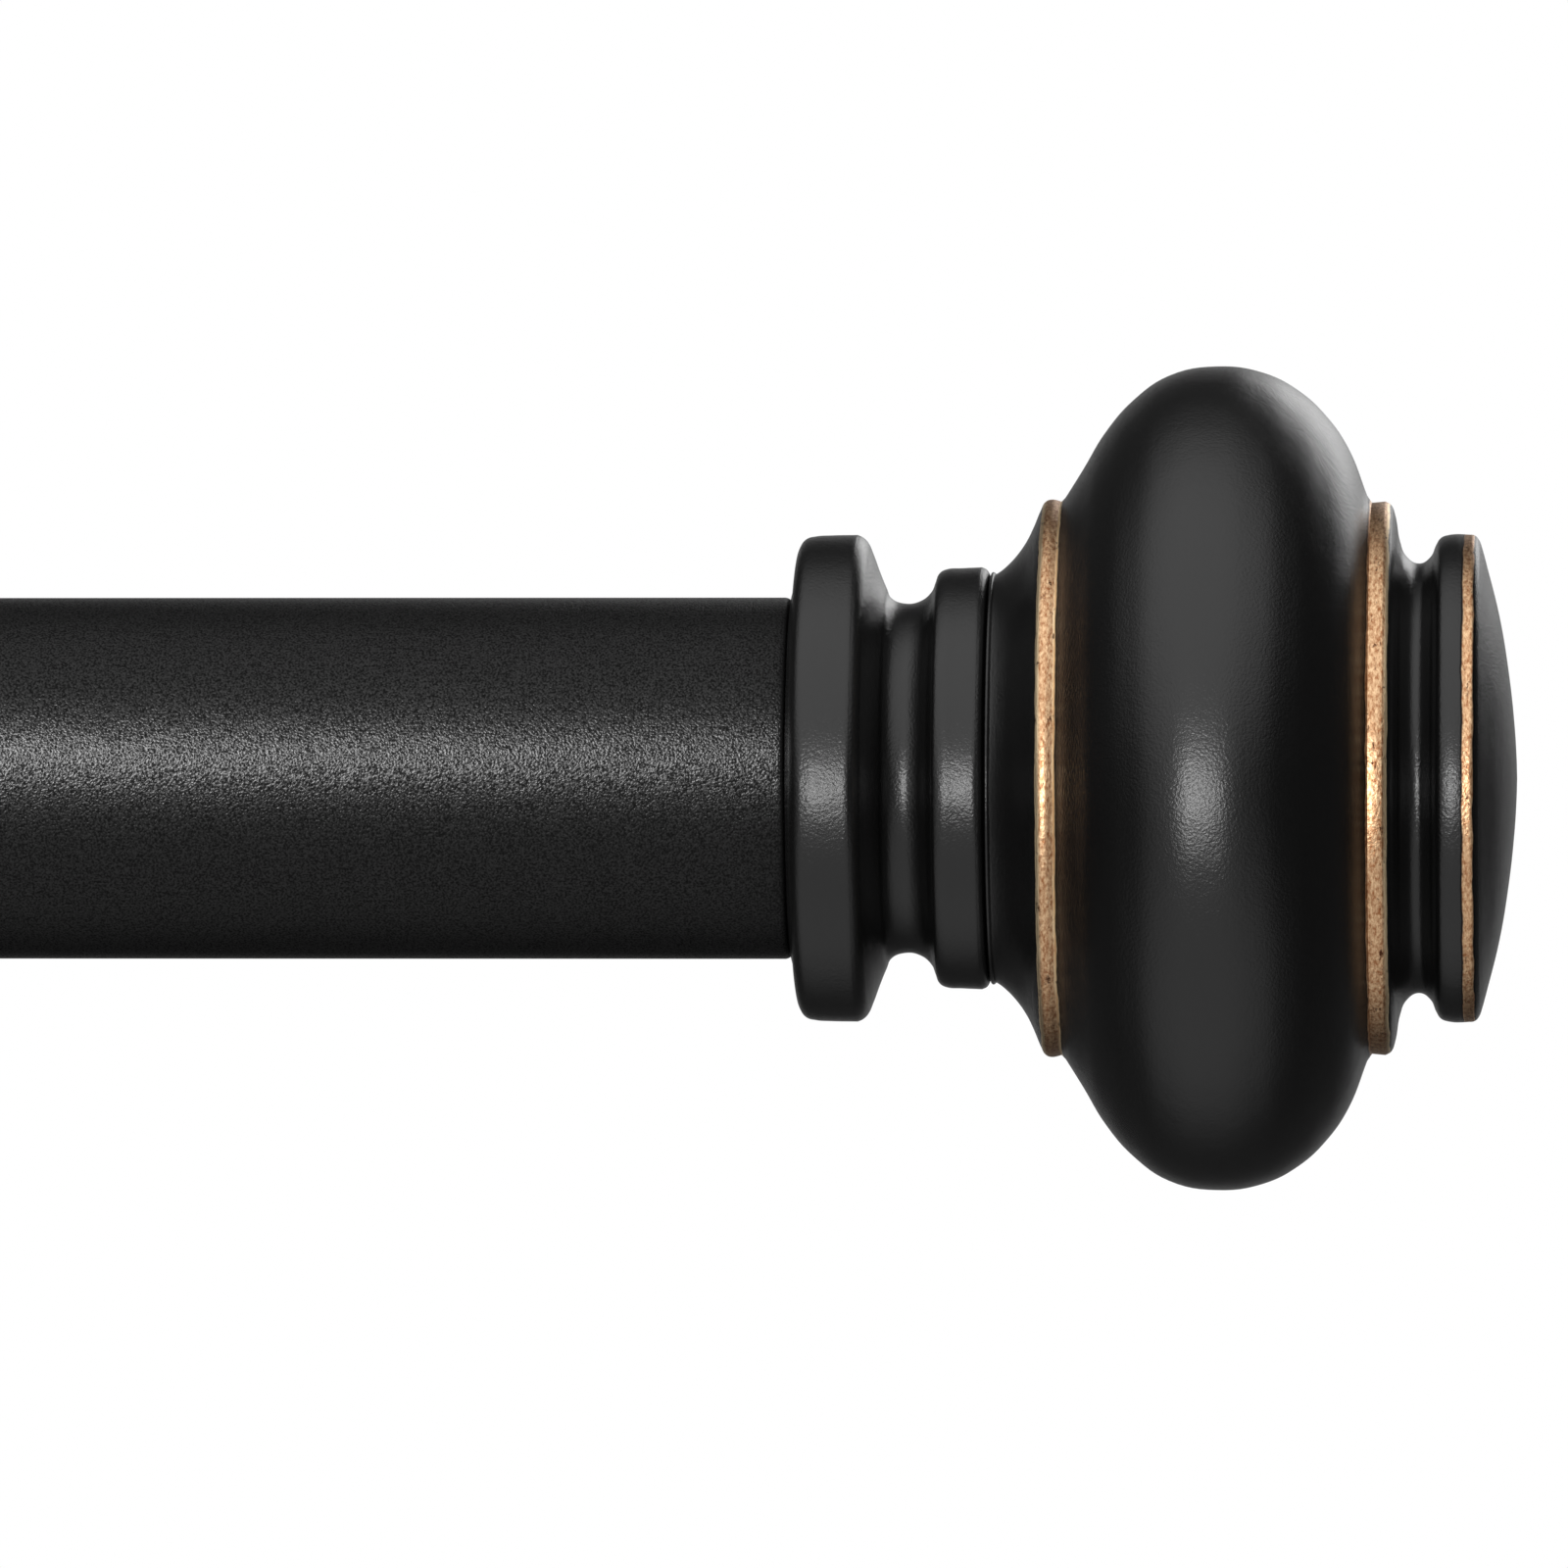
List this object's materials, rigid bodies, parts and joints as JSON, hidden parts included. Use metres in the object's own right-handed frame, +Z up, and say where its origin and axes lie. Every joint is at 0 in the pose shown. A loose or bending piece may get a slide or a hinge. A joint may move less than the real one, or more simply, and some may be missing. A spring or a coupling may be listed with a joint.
{
  "type": "curtain rod",
  "caption": "Telescopic black curtain rod with turned screw-on finials carrying bronze bands, resting in the cradles of adjustable wall brackets.",
  "frame": {"origin": "on the wall plane, at the centre of the four wall screw holes, midway between the two brackets and level with the rod's axis", "axes": "+X along the rod to the right finial (the fixed, thicker tube's end), +Y into the wall, +Z up"},
  "size_m": [0.8126, 0.1188, 0.076],
  "materials": {
    "rod_powder_coat": "satin black powder coat, fine grain",
    "finial_resin": "cast resin painted satin black, with two hand-painted antique bronze bands and a thin bronze edge",
    "bracket_powder_coat": "satin black powder coat on pressed steel",
    "knob_metal": "black painted, straight knurl on the rim",
    "zinc_plated_steel": "bright zinc plate, rolled thread",
    "black_nylon": "moulded, matt",
    "natural_nylon": "moulded, uncoloured"
  },
  "bodies": {
    "wall": {"right_wall_plate": "bracket_powder_coat", "right_arm_socket": "bracket_powder_coat", "left_wall_plate": "bracket_powder_coat", "left_arm_socket": "bracket_powder_coat"},
    "right_arm": {"right_arm": "bracket_powder_coat", "right_cradle": "bracket_powder_coat"},
    "left_arm": {"left_arm": "bracket_powder_coat", "left_cradle": "bracket_powder_coat"},
    "outer_rod": {"outer_tube": "rod_powder_coat", "mouth_bush": "black_nylon", "outer_end_plug": "natural_nylon", "outer_plug_nut": "zinc_plated_steel"},
    "inner_rod": {"inner_tube": "rod_powder_coat", "guide_plug": "natural_nylon", "inner_end_plug": "natural_nylon", "inner_plug_nut": "zinc_plated_steel"},
    "right_finial_stud": {"right_finial_stud": "zinc_plated_steel"},
    "right_finial": {"right_finial_neck": "finial_resin", "right_finial_body": "finial_resin"},
    "right_cradle_screw": {"right_cradle_screw": "zinc_plated_steel"},
    "right_cradle_knob": {"right_cradle_knob": "knob_metal"},
    "right_arm_screw": {"right_arm_screw": "zinc_plated_steel"},
    "right_arm_knob": {"right_arm_knob": "knob_metal"},
    "left_finial_stud": {"left_finial_stud": "zinc_plated_steel"},
    "left_finial": {"left_finial_neck": "finial_resin", "left_finial_body": "finial_resin"},
    "left_cradle_screw": {"left_cradle_screw": "zinc_plated_steel"},
    "left_cradle_knob": {"left_cradle_knob": "knob_metal"},
    "left_arm_screw": {"left_arm_screw": "zinc_plated_steel"},
    "left_arm_knob": {"left_arm_knob": "knob_metal"}
  },
  "joints": [
    {"name": "right_arm_slide", "type": "slide", "parent": "wall", "child": "right_arm", "axis": [0, -1, 0], "range_m": [0, 0.03]},
    {"name": "left_arm_slide", "type": "slide", "parent": "wall", "child": "left_arm", "axis": [0, -1, 0], "range_m": [0, 0.03]},
    {"name": "rod_lift", "type": "slide", "parent": "right_arm", "child": "outer_rod", "axis": [0, 0, 1], "range_m": [0, 0.03]},
    {"name": "rod_telescope", "type": "slide", "parent": "outer_rod", "child": "inner_rod", "axis": [-1, 0, 0], "range_m": [0, 0.508]},
    {"name": "right_finial_travel", "type": "slide", "parent": "outer_rod", "child": "right_finial_stud", "axis": [1, 0, 0], "range_m": [0, 0.01]},
    {"name": "right_finial_turn", "type": "hinge", "parent": "right_finial_stud", "child": "right_finial", "pos_m": [0.3555, -0.09, 0], "axis": [1, 0, 0], "range_deg": [0, 3600]},
    {"name": "left_finial_travel", "type": "slide", "parent": "inner_rod", "child": "left_finial_stud", "axis": [-1, 0, 0], "range_m": [0, 0.01]},
    {"name": "left_finial_turn", "type": "hinge", "parent": "left_finial_stud", "child": "left_finial", "pos_m": [-0.3555, -0.09, 0], "axis": [-1, 0, 0], "range_deg": [0, 3600]},
    {"name": "right_cradle_screw_travel", "type": "slide", "parent": "right_arm", "child": "right_cradle_screw", "axis": [0, -1, 0], "range_m": [0, 0.004]},
    {"name": "right_cradle_knob_turn", "type": "hinge", "parent": "right_cradle_screw", "child": "right_cradle_knob", "pos_m": [0.265, -0.1027, 0], "axis": [0, -1, 0], "range_deg": [0, 1800]},
    {"name": "right_arm_screw_travel", "type": "slide", "parent": "wall", "child": "right_arm_screw", "axis": [0, 0, -1], "range_m": [0, 0.0032]},
    {"name": "right_arm_knob_turn", "type": "hinge", "parent": "right_arm_screw", "child": "right_arm_knob", "pos_m": [0.265, -0.047, -0.006], "axis": [0, 0, -1], "range_deg": [0, 1440]},
    {"name": "left_cradle_screw_travel", "type": "slide", "parent": "left_arm", "child": "left_cradle_screw", "axis": [0, -1, 0], "range_m": [0, 0.004]},
    {"name": "left_cradle_knob_turn", "type": "hinge", "parent": "left_cradle_screw", "child": "left_cradle_knob", "pos_m": [-0.265, -0.1027, 0], "axis": [0, -1, 0], "range_deg": [0, 1800]},
    {"name": "left_arm_screw_travel", "type": "slide", "parent": "wall", "child": "left_arm_screw", "axis": [0, 0, -1], "range_m": [0, 0.0032]},
    {"name": "left_arm_knob_turn", "type": "hinge", "parent": "left_arm_screw", "child": "left_arm_knob", "pos_m": [-0.265, -0.047, -0.006], "axis": [0, 0, -1], "range_deg": [0, 1440]}
  ],
  "couplings": [
    {"joint": "left_arm_slide", "follows": "right_arm_slide", "ratio": 1},
    {"joint": "right_finial_travel", "follows": "right_finial_turn", "m_per_rad": 0.00015915},
    {"joint": "left_finial_travel", "follows": "left_finial_turn", "m_per_rad": 0.00015915},
    {"joint": "right_cradle_screw_travel", "follows": "right_cradle_knob_turn", "m_per_rad": 0.00012732},
    {"joint": "right_arm_screw_travel", "follows": "right_arm_knob_turn", "m_per_rad": 0.00012732},
    {"joint": "left_cradle_screw_travel", "follows": "left_cradle_knob_turn", "m_per_rad": 0.00012732},
    {"joint": "left_arm_screw_travel", "follows": "left_arm_knob_turn", "m_per_rad": 0.00012732}
  ]
}
